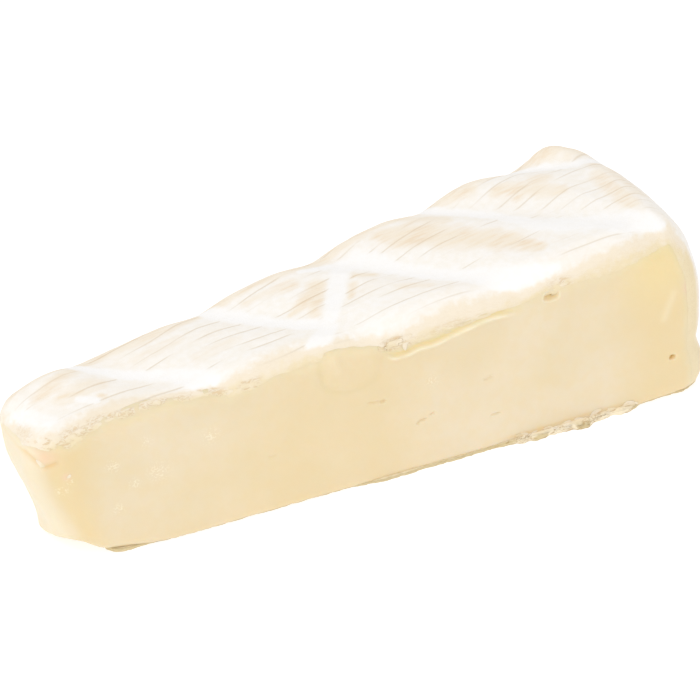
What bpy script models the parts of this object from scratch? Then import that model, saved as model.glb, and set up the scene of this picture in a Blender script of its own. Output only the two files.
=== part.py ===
"""A wedge of brie with a white rind, lying on its lower rind.

Metres, +Z up. +X runs from the narrow tip to the heel, the piece of the wheel's outer rim, and the
cut face at -Y is the broad one that is usually seen. The origin lies on the flat underside, below
the middle of the wedge. The wedge starts as a sawn block whose points are then moved by rules:
rounded corners and edges, a leaning tip, a bowed heel, a quilted top, and the relief of the cut.
"""

import bmesh
import bpy
import numpy as np

# Driving dimensions of the wedge
LENGTH = 0.1537
TIP_WIDTH = 0.0214
HEEL_WIDTH = 0.0514
MIDDLE_HEIGHT = 0.0363
HEIGHT_RISE = 0.074
BLOCK_HEIGHT = 0.0400

# Corners seen from above
TIP_FRONT_CORNER_LOW = 0.0105
TIP_FRONT_CORNER_HIGH = 0.0070
TIP_BACK_CORNER = 0.0050
HEEL_FRONT_CORNER = 0.0070
HEEL_BACK_CORNER = 0.0096

# Rounding of the upper and lower edges, and where the ends' own rounding begins
TOP_EDGE_FRONT = 0.0050
TOP_EDGE_BACK = 0.0044
TOP_EDGE_HEEL = 0.0099
TOP_EDGE_TIP = 0.0056
LOWER_EDGE = 0.0012
LOWER_EDGE_HEEL = 0.0031
LOWER_EDGE_TIP = 0.0068
HEEL_ROUNDING = (0.050, 0.074)
TIP_ROUNDING = (-0.054, -0.072)
LOW_TIP_ROUNDING = (-0.048, -0.074)

# How the two ends depart from a plain wedge
TIP_LEAN = 0.0047
TIP_REACH = 0.034
HEEL_LEAN = 0.0047
HEEL_BOW = 0.0029
HEEL_REACH = 0.034
HEEL_DENT = 0.0009
HEEL_DENT_HEIGHT = 0.0112
HEEL_SWELL = 0.0005
HEEL_SWELL_HEIGHT = 0.0055
HEEL_DENT_REACH = 0.0032

# The quilted top: bands of rack marks, each from one point to another, with pillows between
BANDS = (
    ((-0.0606, 0.0125), (-0.0353, -0.0175), 1.00, 0.80),
    ((-0.0303, 0.0150), (-0.0053, -0.0155), 1.00, 0.70),
    ((-0.0022, 0.0185), (0.0342, -0.0295), 1.00, 0.60),
    ((0.0261, 0.0205), (0.0672, -0.0225), 1.00, 0.30),
    ((0.0487, 0.0240), (0.0686, 0.0115), 1.35, 0.75),
    ((0.0047, 0.0075), (-0.0098, -0.0085), 0.40, 0.40),
    ((0.0656, 0.0060), (0.0622, -0.0100), 0.25, 0.15),
)
BAND_WIDTH = 0.0052
PILLOW_RISE = 0.0018
PILLOW_RISE_GROWTH = 0.012
HEEL_HUMP = 0.0015
HEEL_HUMP_PLACE = (0.0653, 0.0218)
HEEL_HUMP_REACH = 0.0042
TIP_DOME = 0.0026
TIP_DOME_PLACE = (-0.0640, 0.0063)
TIP_DOME_REACH = 0.0097

# The relief of the broad cut face
CUT_DEPTH = 0.0035
RIM_HEIGHT = 0.0332
RIM_RISE = 0.016
RIM_SWAY = 0.0010
RIM_WAVE = 0.047
RIM_STEP = 0.0006
RIM_SOFTNESS = 0.0016
LIP_START = -0.0039
LIP_END = 0.0321
LIP_HEIGHT = 0.0288
LIP_CLIMB = 0.0026
LIP_RISE = 0.0008
LIP_TROUGH = 0.0009
LIP_TROUGH_DROP = 0.0024
LIP_WIDTH = 0.0013
MELT_PLACE = (-0.0084, 0.0266)
MELT_REACH = (0.0078, 0.0042)
MELT_RISE = 0.0011
LOWER_RIND = 0.0018
LOWER_RIND_STEP = 0.0011
LOWER_RIND_SOFTNESS = 0.0008

# How finely the block is sawn, and how much closer the cuts lie near its edges
COLUMNS = 66
ROWS = 18
LAYERS = 15
CROWDING = (0.30, 0.35, 0.62)

PASTE_COLOUR = (0.888, 0.730, 0.480, 1.0)
PASTE_ROUGHNESS = 0.45


def eased(value):
    """0 below zero, 1 above one, and a smooth rise between."""
    value = np.clip(value, 0.0, 1.0)
    return value * value * (3.0 - 2.0 * value)


def between(value, start, end):
    """A smooth rise from 0 at start to 1 at end."""
    return eased((value - start) / (end - start))


def hump(distance, reach):
    """A smooth hump of height 1 that has gone at about twice its reach."""
    return np.exp(-((distance / reach) ** 2))


def uneven(along, seed, waves=6, shortest=0.009, longer=0.005):
    """A fixed uneven wave between -1 and 1 along one line."""
    draw = np.random.default_rng(seed)
    total = np.zeros_like(along)
    for wave in range(waves):
        turn = 2.0 * np.pi * along / (shortest + longer * wave)
        total += np.sin(turn + draw.uniform(0.0, 2.0 * np.pi))
    return total / waves


def half_width(x):
    """Half the wedge's width at a place along its length."""
    share = (x + LENGTH / 2.0) / LENGTH
    return 0.5 * (TIP_WIDTH + (HEEL_WIDTH - TIP_WIDTH) * share)


def crowd(value, amount):
    """Moves evenly spaced cuts between -1 and 1 closer to both ends."""
    return value + amount * np.sin(np.pi * value) / np.pi


def square_to_arc(first, second, radius):
    """Lays a square edge on an arc, from the distances to the two faces that meet in it."""
    from_first = np.maximum(radius - first, 0.0)
    from_second = np.maximum(radius - second, 0.0)
    reach = np.maximum(np.hypot(from_first, from_second), 1e-9)
    scale = np.maximum(from_first, from_second) / reach
    both = (from_first > 0.0) & (from_second > 0.0)
    new_first = np.where(both, radius - from_first * scale, first)
    new_second = np.where(both, radius - from_second * scale, second)
    return new_first, new_second


def shrink_ring(end, side, ring, new_ring, zone):
    """Moves points from one ring inside the outline to another, with square corners."""
    to_end = np.maximum(zone - end, 0.0)
    to_side = np.maximum(zone - side, 0.0)
    scale = (zone - new_ring) / np.maximum(zone - ring, 1e-9)
    new_end = np.where(to_end > 0.0, zone - to_end * scale, end)
    new_side = np.where(to_side > 0.0, zone - to_side * scale, side)
    return new_end, new_side


def edge_radii(x, y):
    """How round the upper and the lower edge are at a place on the outline."""
    to_heel = between(x, *HEEL_ROUNDING)
    to_low_tip = between(x, *LOW_TIP_ROUNDING) * between(y, 0.006, -0.006)
    upper = TOP_EDGE_FRONT + (TOP_EDGE_BACK - TOP_EDGE_FRONT) * between(y, -0.005, 0.005)
    upper += (TOP_EDGE_HEEL - upper) * to_heel
    upper += (TOP_EDGE_TIP - upper) * between(x, *TIP_ROUNDING)
    lower = LOWER_EDGE + (LOWER_EDGE_HEEL - LOWER_EDGE) * to_heel
    lower += (LOWER_EDGE_TIP - lower) * to_low_tip
    return upper, lower


def corner_radius(at_heel, at_back, low_share):
    """How round the nearest upright corner is."""
    tip_front = TIP_FRONT_CORNER_HIGH + (TIP_FRONT_CORNER_LOW - TIP_FRONT_CORNER_HIGH) * low_share
    tip = np.where(at_back, TIP_BACK_CORNER, tip_front)
    heel = np.where(at_back, HEEL_BACK_CORNER, HEEL_FRONT_CORNER)
    return np.where(at_heel, heel, tip)


def band_pinch(x, y):
    """How far the bands press the pillows down at a place on the top, from 0 to 1."""
    pinch = np.zeros_like(x)
    for (x0, y0), (x1, y1), first_share, last_share in BANDS:
        run_x, run_y = x1 - x0, y1 - y0
        along = ((x - x0) * run_x + (y - y0) * run_y) / (run_x ** 2 + run_y ** 2)
        along = np.clip(along, 0.0, 1.0)
        away = np.hypot(x - x0 - along * run_x, y - y0 - along * run_y)
        share = first_share + (last_share - first_share) * along
        pinch = np.maximum(pinch, share * hump(away, BAND_WIDTH))
    return pinch


def top_height(x, y):
    """The height of the quilted top over a place on the underside."""
    slope = MIDDLE_HEIGHT + HEIGHT_RISE * x
    rise = PILLOW_RISE + PILLOW_RISE_GROWTH * x
    pillow = rise * (1.0 - band_pinch(x, y))
    at_heel = np.hypot(x - HEEL_HUMP_PLACE[0], y - HEEL_HUMP_PLACE[1])
    at_tip = np.hypot(x - TIP_DOME_PLACE[0], y - TIP_DOME_PLACE[1])
    swell = HEEL_HUMP * hump(at_heel, HEEL_HUMP_REACH) + TIP_DOME * hump(at_tip, TIP_DOME_REACH)
    return slope + pillow + swell


def rim_height(x):
    """Where the upper rind ends on the broad cut face."""
    return RIM_HEIGHT + RIM_RISE * x + RIM_SWAY * np.sin(2.0 * np.pi * (x + 0.030) / RIM_WAVE)


def lip_height(x):
    """The curled lip of paste that the knife dragged up below the rim."""
    return LIP_HEIGHT + LIP_CLIMB * between(x, LIP_START, LIP_END)


def cut_relief(x, z):
    """How far the broad cut face stands out at a place on it."""
    relief = -RIM_STEP * between(z, rim_height(x), rim_height(x) - RIM_SOFTNESS)
    along = between(x, LIP_START, LIP_START + 0.003) * between(x, LIP_END, LIP_END - 0.004)
    relief += LIP_RISE * along * hump(z - lip_height(x), LIP_WIDTH)
    relief -= LIP_TROUGH * along * hump(z - lip_height(x) - LIP_TROUGH_DROP, LIP_WIDTH)
    spread = np.hypot((x - MELT_PLACE[0]) / MELT_REACH[0], (z - MELT_PLACE[1]) / MELT_REACH[1])
    relief += MELT_RISE * between(spread, 1.25, 0.75)
    flakes = 0.6 + 0.4 * uneven(x, 5)
    relief += LOWER_RIND_STEP * flakes * between(z, LOWER_RIND, LOWER_RIND - LOWER_RIND_SOFTNESS)
    return relief


def shape_ends(x, y, z, high_share):
    """Leans the tip out and the heel in towards the top, and bows and dents the heel."""
    to_tip = between(x, TIP_REACH - LENGTH / 2.0, -LENGTH / 2.0)
    to_heel = between(x, LENGTH / 2.0 - HEEL_REACH, LENGTH / 2.0)
    x = x + TIP_LEAN * to_tip * between(high_share, 0.77, 0.06)
    x = x - HEEL_LEAN * to_heel * between(high_share, 0.50, 1.0)
    x = x - HEEL_BOW * to_heel * ((y - 0.004) / (HEEL_WIDTH / 2.0)) ** 2
    dent = HEEL_DENT * hump(z - HEEL_DENT_HEIGHT, HEEL_DENT_REACH)
    swell = HEEL_SWELL * hump(z - HEEL_SWELL_HEIGHT, HEEL_DENT_REACH)
    return x - (dent - swell) * to_heel ** 3


def wedge_points(block):
    """Moves the points of a block between -1 and 1 to the surface of the wedge."""
    u, v, w = (crowd(block[:, axis], CROWDING[axis]) for axis in range(3))
    x = u * LENGTH / 2.0
    y = v * half_width(x)
    z = (w + 1.0) * BLOCK_HEIGHT / 2.0
    at_heel = u > 0.0
    at_back = v > 0.0
    end = LENGTH / 2.0 - np.abs(x)
    side = half_width(x) - np.abs(y)
    ring = np.minimum(end, side)

    upper, lower = edge_radii(x, y)
    upper_ring, depth = square_to_arc(ring, BLOCK_HEIGHT - z, upper)
    lower_ring, lower_z = square_to_arc(ring, z, lower)
    in_lower = z < BLOCK_HEIGHT / 2.0
    new_ring = np.where(in_lower, lower_ring, upper_ring)
    z = np.where(in_lower, lower_z, BLOCK_HEIGHT - depth)
    end, side = shrink_ring(end, side, ring, new_ring, max(TOP_EDGE_HEEL, HEEL_FRONT_CORNER))
    high_share = z / BLOCK_HEIGHT
    end, side = square_to_arc(end, side, corner_radius(at_heel, at_back, 1.0 - high_share))

    x = np.where(at_heel, 1.0, -1.0) * (LENGTH / 2.0 - end)
    y = np.where(at_back, 1.0, -1.0) * (half_width(x) - side)
    z = high_share * top_height(x, y)
    near_cut = between(side, CUT_DEPTH, 0.4 * CUT_DEPTH) * between(end, 0.004, 0.014)
    y = y - cut_relief(x, z) * np.where(at_back, 0.0, near_cut)
    x = shape_ends(x, y, z, high_share)
    points = np.stack((x, y, z), axis=1)
    points[:, :2] -= 0.5 * (points[:, :2].min(axis=0) + points[:, :2].max(axis=0))
    return points


def sawn_block():
    """A cube between -1 and 1 with evenly spaced cuts along each of its sides."""
    mesh = bmesh.new()
    bmesh.ops.create_cube(mesh, size=2.0)
    for axis, count in enumerate((COLUMNS, ROWS, LAYERS)):
        along = [e for e in mesh.edges if abs(e.verts[0].co[axis] - e.verts[1].co[axis]) > 1.0]
        bmesh.ops.subdivide_edges(mesh, edges=along, cuts=count - 1, use_grid_fill=True)
    return mesh


def make_wedge():
    """The whole wedge as one closed body."""
    mesh = sawn_block()
    block = np.array([point.co for point in mesh.verts])
    for point, place in zip(mesh.verts, wedge_points(block)):
        point.co = place
    bmesh.ops.triangulate(mesh, faces=mesh.faces[:], quad_method="SHORT_EDGE")
    bmesh.ops.recalc_face_normals(mesh, faces=mesh.faces[:])
    data = bpy.data.meshes.new("brie_wedge")
    mesh.to_mesh(data)
    mesh.free()
    data.shade_smooth()
    wedge = bpy.data.objects.new("brie_wedge", data)
    bpy.context.collection.objects.link(wedge)
    return wedge


def paste_material():
    """The pale cream of the ripe paste."""
    material = bpy.data.materials.new("paste")
    material.use_nodes = True
    shader = material.node_tree.nodes["Principled BSDF"]
    shader.inputs["Base Color"].default_value = PASTE_COLOUR
    shader.inputs["Roughness"].default_value = PASTE_ROUGHNESS
    shader.inputs["Metallic"].default_value = 0.0
    return material


for old in list(bpy.data.objects):
    bpy.data.objects.remove(old)
brie_wedge = make_wedge()
brie_wedge.data.materials.append(paste_material())
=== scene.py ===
# %% [markdown]
# A wedge of brie, lesson by lesson. The wedge was cut from a soft wheel: two cut faces and a blunt
# tip show the paste, and a white rind of mould wraps the top, the heel and the underside. A frame
# of the same wedge, a plain solid at its real size, is loaded first, and everything made here is
# laid over that frame in metres, with +X from the tip to the heel and -Y out of the broad cut face.

# %% Open the frame
import math
import bmesh
import bpy
import numpy as np
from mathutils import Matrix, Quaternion, Vector


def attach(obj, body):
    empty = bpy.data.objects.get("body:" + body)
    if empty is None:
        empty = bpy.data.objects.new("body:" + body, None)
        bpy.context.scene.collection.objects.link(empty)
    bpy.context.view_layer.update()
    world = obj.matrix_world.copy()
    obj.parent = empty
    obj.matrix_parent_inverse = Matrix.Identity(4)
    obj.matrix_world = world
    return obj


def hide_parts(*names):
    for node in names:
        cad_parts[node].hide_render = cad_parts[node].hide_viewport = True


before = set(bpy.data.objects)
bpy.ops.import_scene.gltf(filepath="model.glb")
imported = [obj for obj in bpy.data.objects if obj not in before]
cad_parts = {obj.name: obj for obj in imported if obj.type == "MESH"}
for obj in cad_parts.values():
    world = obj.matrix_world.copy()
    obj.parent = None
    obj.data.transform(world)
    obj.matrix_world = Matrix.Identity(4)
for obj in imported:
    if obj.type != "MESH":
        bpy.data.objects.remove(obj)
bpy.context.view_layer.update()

# %% [markdown]
# A cheese is shaped by soft events: it slumps, it is dented by a rack, it is dragged by a knife.
# Sculpting by hand would do, but it can't be measured or repeated. Here each event is a small rule
# that says how far a point moves, so a few mathematical helpers come first: a smooth step, a smooth
# hump, and a smooth noise that gives the same unevenness on each run.

# %% Helpers for soft shapes
MM = 0.001


def eased(value):
    """0 below zero, 1 above one, and a smooth rise between."""
    value = np.clip(value, 0.0, 1.0)
    return value * value * (3.0 - 2.0 * value)


def between(value, start, end):
    """A smooth rise from 0 at start to 1 at end."""
    return eased((value - start) / (end - start))


def hump(distance, reach):
    """A smooth hump of height 1 that has gone at about twice its reach."""
    return np.exp(-((distance / reach) ** 2))


def stacked(*columns):
    """Places from their columns, each an array or one number."""
    return np.stack(np.broadcast_arrays(*columns), axis=1)


print("a smooth step at a quarter of its way is", between(0.25, 0.0, 1.0))

# %% Smooth noise
NOISE_TABLE = 4096
NOISE_STRIDES = (73856093, 19349663, 83492791)


def noise(points, size, seed):
    """Smooth noise between -1 and 1 whose bumps are about one size apart."""
    cell = np.asarray(points) / size
    corner = np.floor(cell).astype(np.int64)
    fade = eased(cell - corner)
    table = np.random.default_rng(seed).uniform(-1.0, 1.0, NOISE_TABLE)
    total = np.zeros(len(cell))
    for step in np.ndindex(2, 2, 2):
        keys = [(corner[:, axis] + step[axis]) * NOISE_STRIDES[axis] for axis in range(3)]
        value = table[(keys[0] ^ keys[1] ^ keys[2]) % NOISE_TABLE]
        for axis in range(3):
            value = value * (fade[:, axis] if step[axis] else 1.0 - fade[:, axis])
        total += value
    return total


def layered_noise(points, size, seed, layers=3):
    """Noise on noise, each layer half as wide and half as strong as the one before."""
    parts = [noise(points, size / 2 ** layer, seed + layer) / 2 ** layer for layer in range(layers)]
    return sum(parts) / (2.0 - 0.5 ** (layers - 1))


sample = noise(np.array([[0.0, 0.0, 0.0], [0.01, 0.02, 0.03]]), 0.007, 1)
print("noise sample", sample.round(3))

# %% [markdown]
# The form of the whole wedge is that of the frame: a block whose corners and edges are laid on
# arcs, with a tip that leans out, a heel that bows and leans in, and a quilted top. The same named
# sizes are used, so that the pieces made here lie on the frame and only add what is finer.

# %% Sizes of the wedge
LENGTH = 0.1537
TIP_WIDTH = 0.0214
HEEL_WIDTH = 0.0514
MIDDLE_HEIGHT = 0.0363
HEIGHT_RISE = 0.074
BLOCK_HEIGHT = 0.0400

TIP_FRONT_CORNER_LOW = 0.0105
TIP_FRONT_CORNER_HIGH = 0.0070
TIP_BACK_CORNER = 0.0050
HEEL_FRONT_CORNER = 0.0070
HEEL_BACK_CORNER = 0.0096

TOP_EDGE_FRONT = 0.0050
TOP_EDGE_BACK = 0.0044
TOP_EDGE_HEEL = 0.0099
TOP_EDGE_TIP = 0.0056
TOP_EDGE_CHANGE = (-0.005, 0.005)
LOWER_EDGE = 0.0012
LOWER_EDGE_HEEL = 0.0031
LOWER_EDGE_TIP = 0.0068
HEEL_ROUNDING = (0.050, 0.074)
TIP_ROUNDING = (-0.054, -0.072)
LOW_TIP_ROUNDING = (-0.048, -0.074)
LOW_TIP_SIDE = (0.006, -0.006)
print("wedge", LENGTH / MM, "mm long and", HEEL_WIDTH / MM, "mm wide at the heel")

# %% Sizes of its ends
TIP_LEAN = 0.0047
TIP_LEAN_RUN = (0.77, 0.06)
TIP_REACH = 0.034
HEEL_LEAN = 0.0047
HEEL_LEAN_RUN = (0.50, 1.0)
HEEL_BOW = 0.0029
HEEL_BOW_MIDDLE = 0.004
HEEL_REACH = 0.034
HEEL_DENT = 0.0009
HEEL_DENT_HEIGHT = 0.0112
HEEL_SWELL = 0.0005
HEEL_SWELL_HEIGHT = 0.0055
HEEL_DENT_REACH = 0.0032
print("the heel leans in by", HEEL_LEAN / MM, "mm and bows by", HEEL_BOW / MM, "mm")

# %% Sizes of the quilted top
BANDS = (
    # from, to, how deep the band presses at its two ends
    ((-0.0606, 0.0125), (-0.0353, -0.0175), 1.00, 0.80),
    ((-0.0303, 0.0150), (-0.0053, -0.0155), 1.00, 0.70),
    ((-0.0022, 0.0185), (0.0342, -0.0295), 1.00, 0.60),
    ((0.0261, 0.0205), (0.0672, -0.0225), 1.00, 0.30),
    ((0.0487, 0.0240), (0.0686, 0.0115), 1.35, 0.75),
    ((0.0047, 0.0075), (-0.0098, -0.0085), 0.40, 0.40),
    ((0.0656, 0.0060), (0.0622, -0.0100), 0.25, 0.15),
)
MAIN_BANDS = BANDS[:4]
BAND_WIDTH = 0.0052
PILLOW_RISE = 0.0018
PILLOW_RISE_GROWTH = 0.012
HEEL_HUMP = 0.0015
HEEL_HUMP_PLACE = (0.0653, 0.0218)
HEEL_HUMP_REACH = 0.0042
TIP_DOME = 0.0026
TIP_DOME_PLACE = (-0.0640, 0.0063)
TIP_DOME_REACH = 0.0097
print(len(BANDS), "bands cross the top, each", 2 * BAND_WIDTH / MM, "mm wide")

# %% [markdown]
# The block is a cube that is sawn along its three sides. Sawing finely gives each piece enough
# points for its relief, and a part that needs no detail is sawn coarsely, to keep the piece light.

# %% Saw a block
def sawn_block(columns, rows, layers):
    """A cube between -1 and 1 with evenly spaced cuts along each of its sides."""
    mesh = bmesh.new()
    bmesh.ops.create_cube(mesh, size=2.0)
    for axis, count in enumerate((columns, rows, layers)):
        along = [e for e in mesh.edges if abs(e.verts[0].co[axis] - e.verts[1].co[axis]) > 1.0]
        bmesh.ops.subdivide_edges(mesh, edges=along, cuts=count - 1, use_grid_fill=True)
    return mesh


def places_of(mesh):
    """The points of a bmesh as an array."""
    return np.array([point.co for point in mesh.verts])


trial_block = sawn_block(66, 18, 15)
print("trial block", len(trial_block.verts), "points")

# %% [markdown]
# The real wedge has no sharp edge, and each edge has its own roundness: the heel's upper edge is the
# wheel's rounded shoulder, the cut edges sagged a little, and the lower ones are nearly square. A
# Bevel modifier would round them all alike, so each square edge is laid on an arc of its own.

# %% Lay square edges on arcs
def half_width(x):
    """Half the wedge's width at a place along its length."""
    share = (x + LENGTH / 2.0) / LENGTH
    return 0.5 * (TIP_WIDTH + (HEEL_WIDTH - TIP_WIDTH) * share)


def crowd(value, amount):
    """Moves evenly spaced cuts between -1 and 1 closer to both ends."""
    return value + amount * np.sin(np.pi * value) / np.pi


def square_to_arc(first, second, radius):
    """Lays a square edge on an arc, from the distances to the two faces that meet in it."""
    from_first = np.maximum(radius - first, 0.0)
    from_second = np.maximum(radius - second, 0.0)
    reach = np.maximum(np.hypot(from_first, from_second), 1e-9)
    scale = np.maximum(from_first, from_second) / reach
    both = (from_first > 0.0) & (from_second > 0.0)
    new_first = np.where(both, radius - from_first * scale, first)
    new_second = np.where(both, radius - from_second * scale, second)
    return new_first, new_second


def shrink_ring(end, side, ring, new_ring, zone):
    """Moves points from one ring inside the outline to another, with square corners."""
    to_end = np.maximum(zone - end, 0.0)
    to_side = np.maximum(zone - side, 0.0)
    scale = (zone - new_ring) / np.maximum(zone - ring, 1e-9)
    new_end = np.where(to_end > 0.0, zone - to_end * scale, end)
    new_side = np.where(to_side > 0.0, zone - to_side * scale, side)
    return new_end, new_side


print("half the width in the middle is", round(half_width(0.0) / MM, 2), "mm")

# %% How round each edge is
def edge_radii(x, y):
    """How round the upper and the lower edge are at a place on the outline."""
    to_heel = between(x, *HEEL_ROUNDING)
    to_low_tip = between(x, *LOW_TIP_ROUNDING) * between(y, *LOW_TIP_SIDE)
    upper = TOP_EDGE_FRONT + (TOP_EDGE_BACK - TOP_EDGE_FRONT) * between(y, *TOP_EDGE_CHANGE)
    upper += (TOP_EDGE_HEEL - upper) * to_heel
    upper += (TOP_EDGE_TIP - upper) * between(x, *TIP_ROUNDING)
    lower = LOWER_EDGE + (LOWER_EDGE_HEEL - LOWER_EDGE) * to_heel
    lower += (LOWER_EDGE_TIP - lower) * to_low_tip
    return upper, lower


def corner_radius(at_heel, at_back, low_share):
    """How round the nearest upright corner is."""
    tip_front = TIP_FRONT_CORNER_HIGH + (TIP_FRONT_CORNER_LOW - TIP_FRONT_CORNER_HIGH) * low_share
    tip = np.where(at_back, TIP_BACK_CORNER, tip_front)
    heel = np.where(at_back, HEEL_BACK_CORNER, HEEL_FRONT_CORNER)
    return np.where(at_heel, heel, tip)


print("upper and lower edge in the middle", [round(float(r) / MM, 2) for r in edge_radii(0.0, 0.0)], "mm")

# %% [markdown]
# The top is quilted. The rack that the wheel ripened on pressed bands into it, and the rind swelled
# into pillows between them. A displacement picture could hold that, but a rule is easier to change:
# the height is a slope with pillows on it, less the pinch of the nearest band.

# %% Quilt the top
def line_place(x, y, start, end):
    """How far along the line between two places another one lies, and how far off it."""
    run_x, run_y = end[0] - start[0], end[1] - start[1]
    share = ((x - start[0]) * run_x + (y - start[1]) * run_y) / (run_x ** 2 + run_y ** 2)
    share = np.clip(share, 0.0, 1.0)
    return share, np.hypot(x - start[0] - share * run_x, y - start[1] - share * run_y)


def line_distance(x, y, start, end):
    """How far a place is from the straight line between two others."""
    return line_place(x, y, start, end)[1]


def band_pinch(x, y):
    """How far the bands press the pillows down at a place on the top, from 0 to 1."""
    pinch = np.zeros_like(x)
    for start, end, first_share, last_share in BANDS:
        along, away = line_place(x, y, start, end)
        share = first_share + (last_share - first_share) * along
        pinch = np.maximum(pinch, share * hump(away, BAND_WIDTH))
    return pinch


def top_height(x, y):
    """The height of the quilted top over a place on the underside."""
    slope = MIDDLE_HEIGHT + HEIGHT_RISE * x
    rise = PILLOW_RISE + PILLOW_RISE_GROWTH * x
    pillow = rise * (1.0 - band_pinch(x, y))
    at_heel = np.hypot(x - HEEL_HUMP_PLACE[0], y - HEEL_HUMP_PLACE[1])
    at_tip = np.hypot(x - TIP_DOME_PLACE[0], y - TIP_DOME_PLACE[1])
    swell = HEEL_HUMP * hump(at_heel, HEEL_HUMP_REACH) + TIP_DOME * hump(at_tip, TIP_DOME_REACH)
    return slope + pillow + swell


print("top over the middle", round(float(top_height(0.0, 0.0)) / MM, 2), "mm high")

# %% [markdown]
# The tip leans out over its foot, because soft paste sags. The heel is the wheel's own side: it
# bows, leans in towards the top, and has a shallow dent above the lower rind. Each is a push along
# the wedge that fades out away from its end, and after it the block has become the wedge.

# %% Shape the ends
def shape_ends(x, y, z, high_share):
    """Leans the tip out and the heel in towards the top, and bows and dents the heel."""
    to_tip = between(x, TIP_REACH - LENGTH / 2.0, -LENGTH / 2.0)
    to_heel = between(x, LENGTH / 2.0 - HEEL_REACH, LENGTH / 2.0)
    x = x + TIP_LEAN * to_tip * between(high_share, *TIP_LEAN_RUN)
    x = x - HEEL_LEAN * to_heel * between(high_share, *HEEL_LEAN_RUN)
    x = x - HEEL_BOW * to_heel * ((y - HEEL_BOW_MIDDLE) / (HEEL_WIDTH / 2.0)) ** 2
    dent = HEEL_DENT * hump(z - HEEL_DENT_HEIGHT, HEEL_DENT_REACH)
    swell = HEEL_SWELL * hump(z - HEEL_SWELL_HEIGHT, HEEL_DENT_REACH)
    return x - (dent - swell) * to_heel ** 3


print("the ends are", TIP_REACH / MM, "and", HEEL_REACH / MM, "mm long")

# %% Turn the block into the wedge
def wedge_points(block, crowding):
    """Moves the points of a block between -1 and 1 to the smooth surface of the wedge."""
    u, v, w = (crowd(block[:, axis], crowding[axis]) for axis in range(3))
    x = u * LENGTH / 2.0
    y = v * half_width(x)
    z = (w + 1.0) * BLOCK_HEIGHT / 2.0
    at_heel = u > 0.0
    at_back = v > 0.0
    end = LENGTH / 2.0 - np.abs(x)
    side = half_width(x) - np.abs(y)
    ring = np.minimum(end, side)

    upper, lower = edge_radii(x, y)
    upper_ring, depth = square_to_arc(ring, BLOCK_HEIGHT - z, upper)
    lower_ring, lower_z = square_to_arc(ring, z, lower)
    in_lower = z < BLOCK_HEIGHT / 2.0
    new_ring = np.where(in_lower, lower_ring, upper_ring)
    z = np.where(in_lower, lower_z, BLOCK_HEIGHT - depth)
    end, side = shrink_ring(end, side, ring, new_ring, max(TOP_EDGE_HEEL, HEEL_FRONT_CORNER))
    high_share = z / BLOCK_HEIGHT
    end, side = square_to_arc(end, side, corner_radius(at_heel, at_back, 1.0 - high_share))

    x = np.where(at_heel, 1.0, -1.0) * (LENGTH / 2.0 - end)
    y = np.where(at_back, 1.0, -1.0) * (half_width(x) - side)
    z = high_share * top_height(x, y)
    return stacked(shape_ends(x, y, z, high_share), y, z)


TRIAL_CROWDING = (0.30, 0.35, 0.62)
trial = wedge_points(places_of(trial_block), TRIAL_CROWDING)
trial_block.free()
CENTRE = 0.5 * (trial.min(axis=0) + trial.max(axis=0)) * np.array([1.0, 1.0, 0.0])
print("smooth wedge", (trial.max(axis=0) - trial.min(axis=0)).round(4), "centre", CENTRE.round(5))

# %% [markdown]
# Where the white rind stops and the paste starts is the line that tells an eye this is brie. On the
# broad cut face it wanders: it dips where the rack pressed the rind down, rises where soft paste
# has run over it, and drops again behind the lip that the knife dragged up. A few points give the
# line, and a smooth curve joins them. The rest of the work uses one measure: how far a place lies
# inside the rind, which is negative on the paste.

# %% A smooth curve through points
def curve_through(value, points):
    """A smooth curve through points given in millimetres."""
    at, height = (np.array(column) * MM for column in zip(*points))
    slope = np.gradient(height, at)
    place = np.clip(np.searchsorted(at, value) - 1, 0, len(at) - 2)
    width = at[place + 1] - at[place]
    t = np.clip((value - at[place]) / width, 0.0, 1.0)
    rise = height[place + 1] - height[place]
    lean_in, lean_out = slope[place] * width, slope[place + 1] * width
    return (height[place] + t * lean_in + t ** 2 * (3.0 * rise - 2.0 * lean_in - lean_out)
            + t ** 3 * (lean_in + lean_out - 2.0 * rise))


# %% Where the rind ends
FRONT_RIM = (
    (-78, 29.8), (-74, 29.6), (-71, 28.9), (-67.5, 29.6), (-64, 30.8), (-60.5, 31.6), (-57, 32.1),
    (-53, 32.6), (-48, 32.7), (-43, 32.1), (-38.5, 31.6),
    (-35, 31.0), (-31, 30.9), (-25, 32.4), (-19, 33.2), (-14, 33.3), (-9, 33.2), (-4, 32.6),
    (-0.5, 31.2), (3.5, 30.9), (11, 31.6), (18, 32.8), (26, 33.4), (31, 33.9), (35, 35.3),
    (39, 35.0), (44, 35.0), (50, 35.4), (55, 36.6), (60, 37.8), (66, 38.6),
)
BACK_RIM = ((-78, 28.6), (-60, 30.4), (-44, 30.2), (-30, 33.0), (-12, 32.2), (4, 35.0), (20, 34.2),
            (36, 37.0), (50, 36.2), (66, 38.0))
HEEL_EDGE = ((0.0, 69.2), (6.0, 69.4), (12.0, 68.4), (22.0, 68.4), (30.0, 67.6), (38.0, 64.6))

print("rim at the middle", (curve_through(np.array([0.0]), FRONT_RIM) / MM).round(2), "mm high")

# %% How far inside the rind
BACK_TO_FRONT = (-0.006, 0.008)
RIM_DROP = 1.2 * MM
TOP_START = 24.0 * MM
RIM_ROOM = 3.0 * MM


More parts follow.
